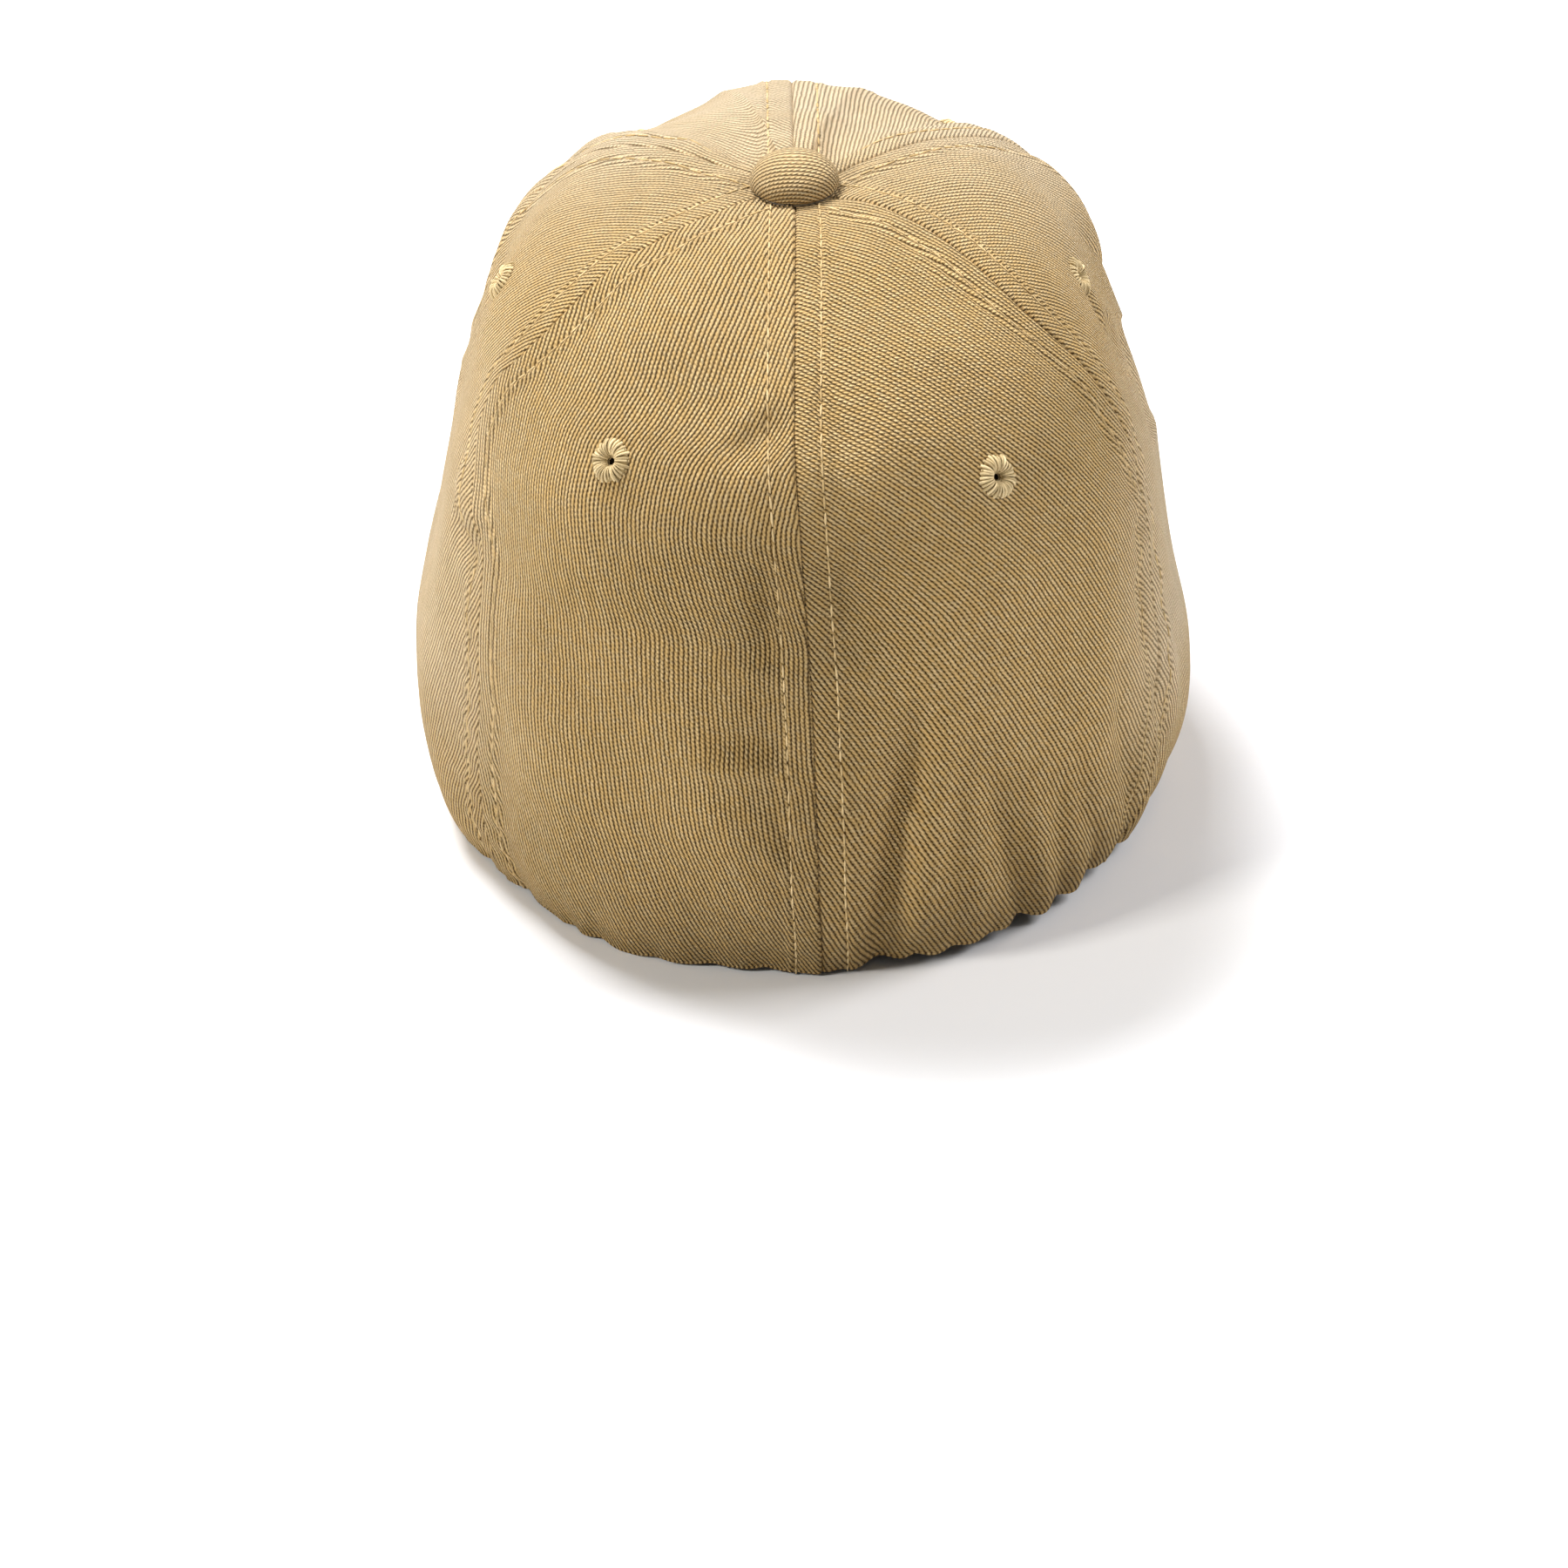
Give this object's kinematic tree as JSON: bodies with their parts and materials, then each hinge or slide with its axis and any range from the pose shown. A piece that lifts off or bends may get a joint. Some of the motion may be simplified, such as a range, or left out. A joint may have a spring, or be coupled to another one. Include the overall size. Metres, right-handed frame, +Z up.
{
  "type": "baseball cap",
  "caption": "Fabric baseball cap with a closed stretch-fit back, a curved visor, a covered top button and sewn vent eyelets.",
  "frame": {"origin": "centre of the head opening, on the plane that the hem stands on, below the crown's apex", "axes": "+Z up to the button, +Y forward to the visor, -Y to the closed back, +X to the wearer's right"},
  "size_m": [0.17, 0.272, 0.1493],
  "materials": {
    "cotton_twill": "matte twill weave",
    "buckram": "stiff open weave",
    "seam_tape": "plain woven tape",
    "sweatband_cloth": "soft ribbed weave",
    "elastic": "ribbed elastic",
    "label_satin": "satin, blank",
    "board_plastic": "matte",
    "button_metal": "plain pressed metal",
    "sewing_thread": "twisted thread"
  },
  "bodies": {
    "root": {"front_left_panel": "cotton_twill", "front_right_panel": "cotton_twill", "side_left_panel": "cotton_twill", "side_right_panel": "cotton_twill", "rear_left_panel": "cotton_twill", "rear_right_panel": "cotton_twill", "front_left_buckram": "buckram", "front_right_buckram": "buckram", "centre_seam_tape": "seam_tape", "front_left_seam_tape": "seam_tape", "front_right_seam_tape": "seam_tape", "rear_left_seam_tape": "seam_tape", "rear_right_seam_tape": "seam_tape", "sweatband": "sweatband_cloth", "rear_elastic": "elastic", "size_label": "label_satin", "visor_board": "board_plastic", "visor_top_cover": "cotton_twill", "visor_under_cover": "cotton_twill", "button_cover": "cotton_twill", "button_shell": "button_metal", "button_back": "button_metal", "front_left_eyelet": "sewing_thread", "front_right_eyelet": "sewing_thread", "side_left_eyelet": "sewing_thread", "side_right_eyelet": "sewing_thread", "rear_left_eyelet": "sewing_thread", "rear_right_eyelet": "sewing_thread"}
  },
  "joints": []
}
